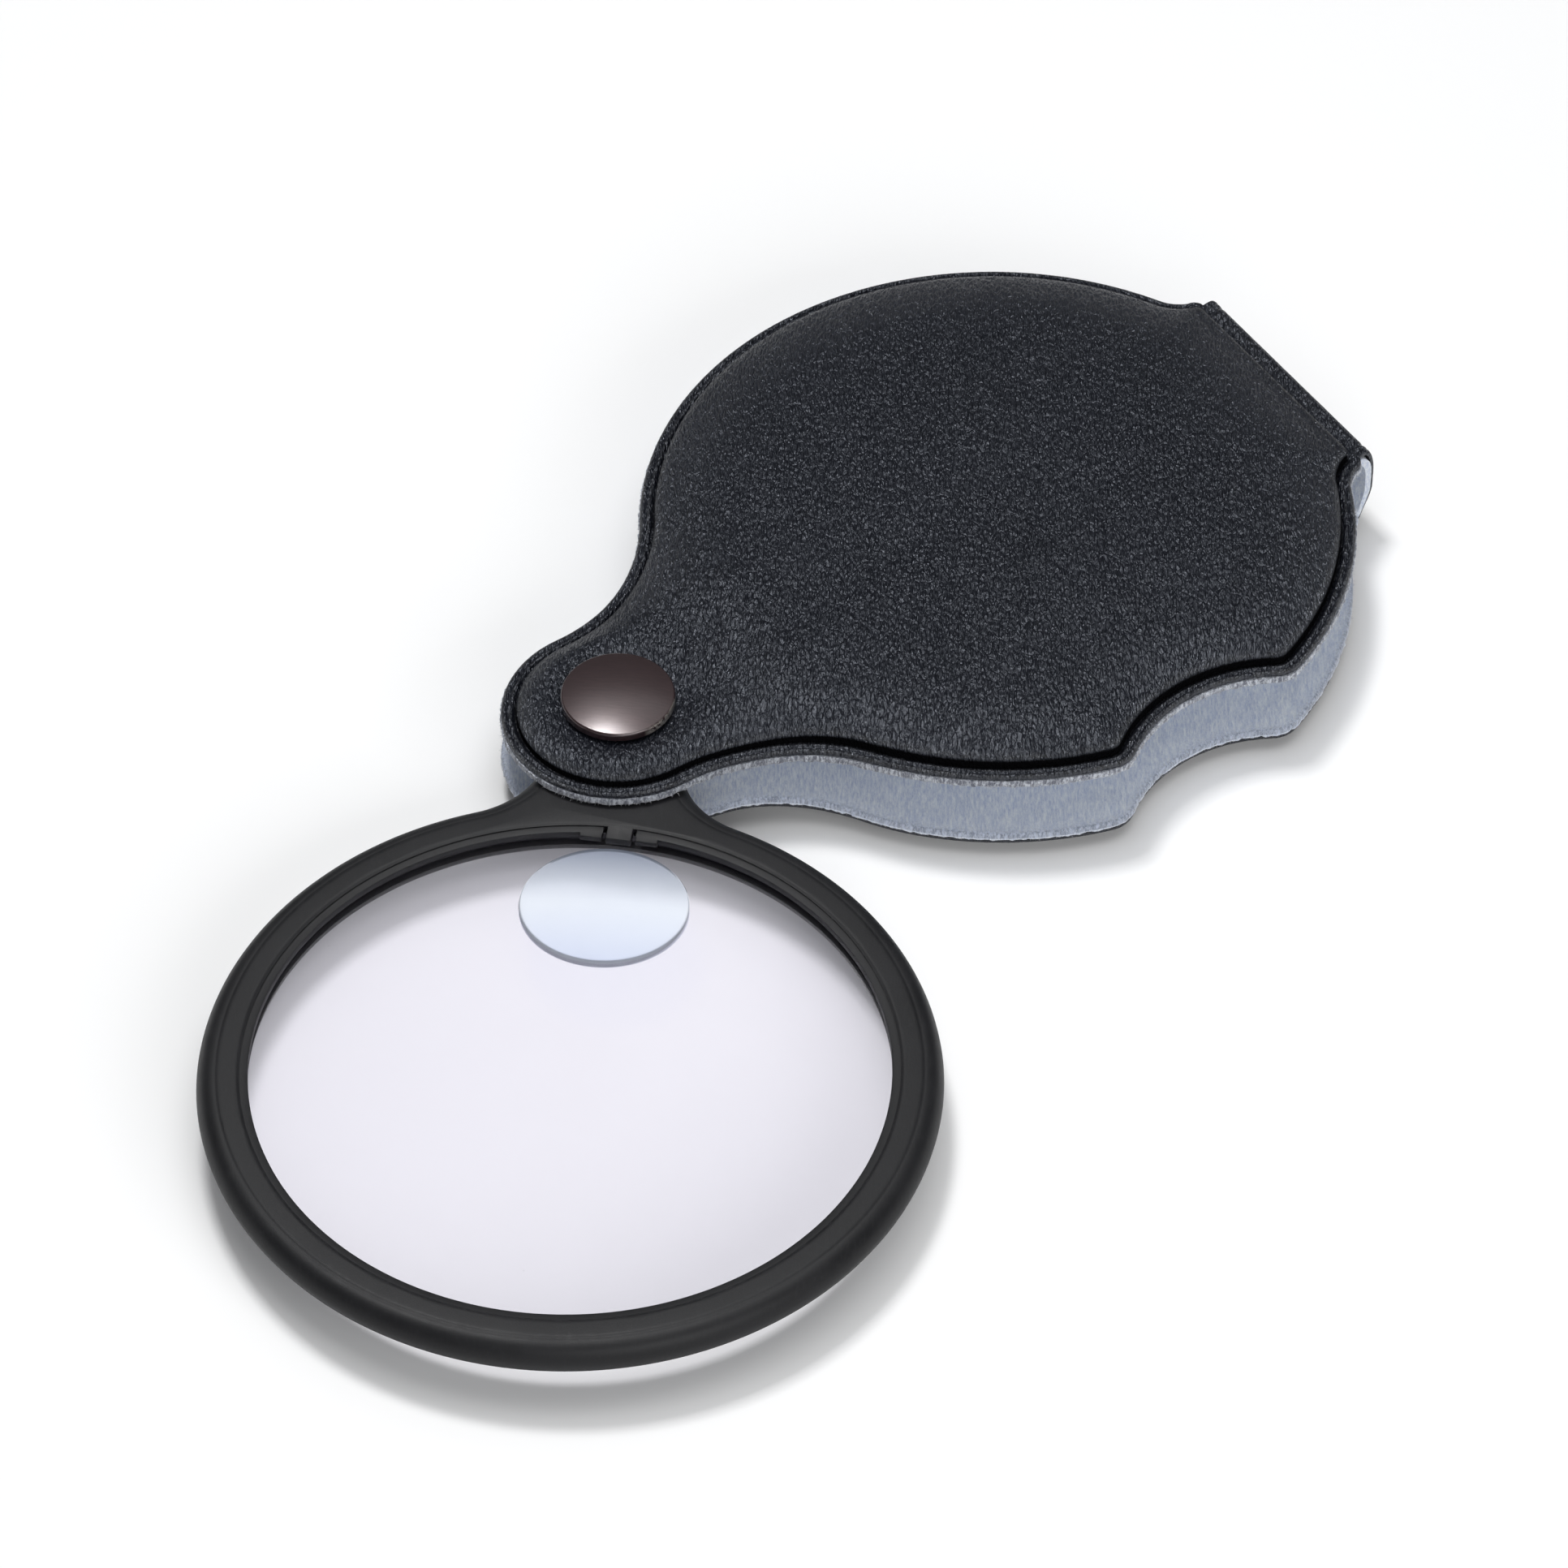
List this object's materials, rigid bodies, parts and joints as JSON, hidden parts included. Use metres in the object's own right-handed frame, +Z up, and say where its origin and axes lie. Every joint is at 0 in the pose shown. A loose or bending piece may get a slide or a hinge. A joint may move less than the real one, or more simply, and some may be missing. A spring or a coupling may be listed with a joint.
{
  "type": "folding pocket magnifying glass",
  "caption": "Folding pocket magnifier: a round bifocal lens in a black frame that swivels on a rivet out of a padded black leatherette case with a grey lining.",
  "frame": {"origin": "on the pivot axis, in the plane of the underside that the object rests on", "axes": "+X from the pivot along the case to its fold, +Z up along the pivot axis, +Y to the side away from the thumb notch"},
  "size_m": [0.1397, 0.1009, 0.0122],
  "materials": {
    "black_leatherette": "fine-grained, soft sheen",
    "grey_lining": "matt, short nap",
    "greyboard": "pressed paper board",
    "foam": "soft sheet foam",
    "dark_bronze": "dark bronze lacquer, glossy",
    "plated_steel": "plated",
    "nylon": "smooth",
    "black_plastic": "moulded, satin",
    "clear_acrylic": "optically clear, polished"
  },
  "bodies": {
    "case": {"case_skin": "black_leatherette", "case_lining": "grey_lining", "upper_stiffener_board": "greyboard", "lower_stiffener_board": "greyboard", "upper_foam_pad": "foam", "lower_foam_pad": "foam", "rivet_cap": "dark_bronze", "rivet_base_cap": "dark_bronze", "rivet_post": "plated_steel", "rivet_tube": "plated_steel", "upper_pivot_washer": "nylon", "lower_pivot_washer": "nylon"},
    "lens_arm": {"lens_frame": "black_plastic", "lens_retaining_hoop": "black_plastic", "main_lens": "clear_acrylic", "bifocal_lens": "clear_acrylic"}
  },
  "joints": [
    {"name": "lens_swivel", "type": "hinge", "parent": "case", "child": "lens_arm", "pos_m": [0, 0, 0.00605], "axis": [0, 0, 1], "range_deg": [-230.7, 129.3]}
  ]
}
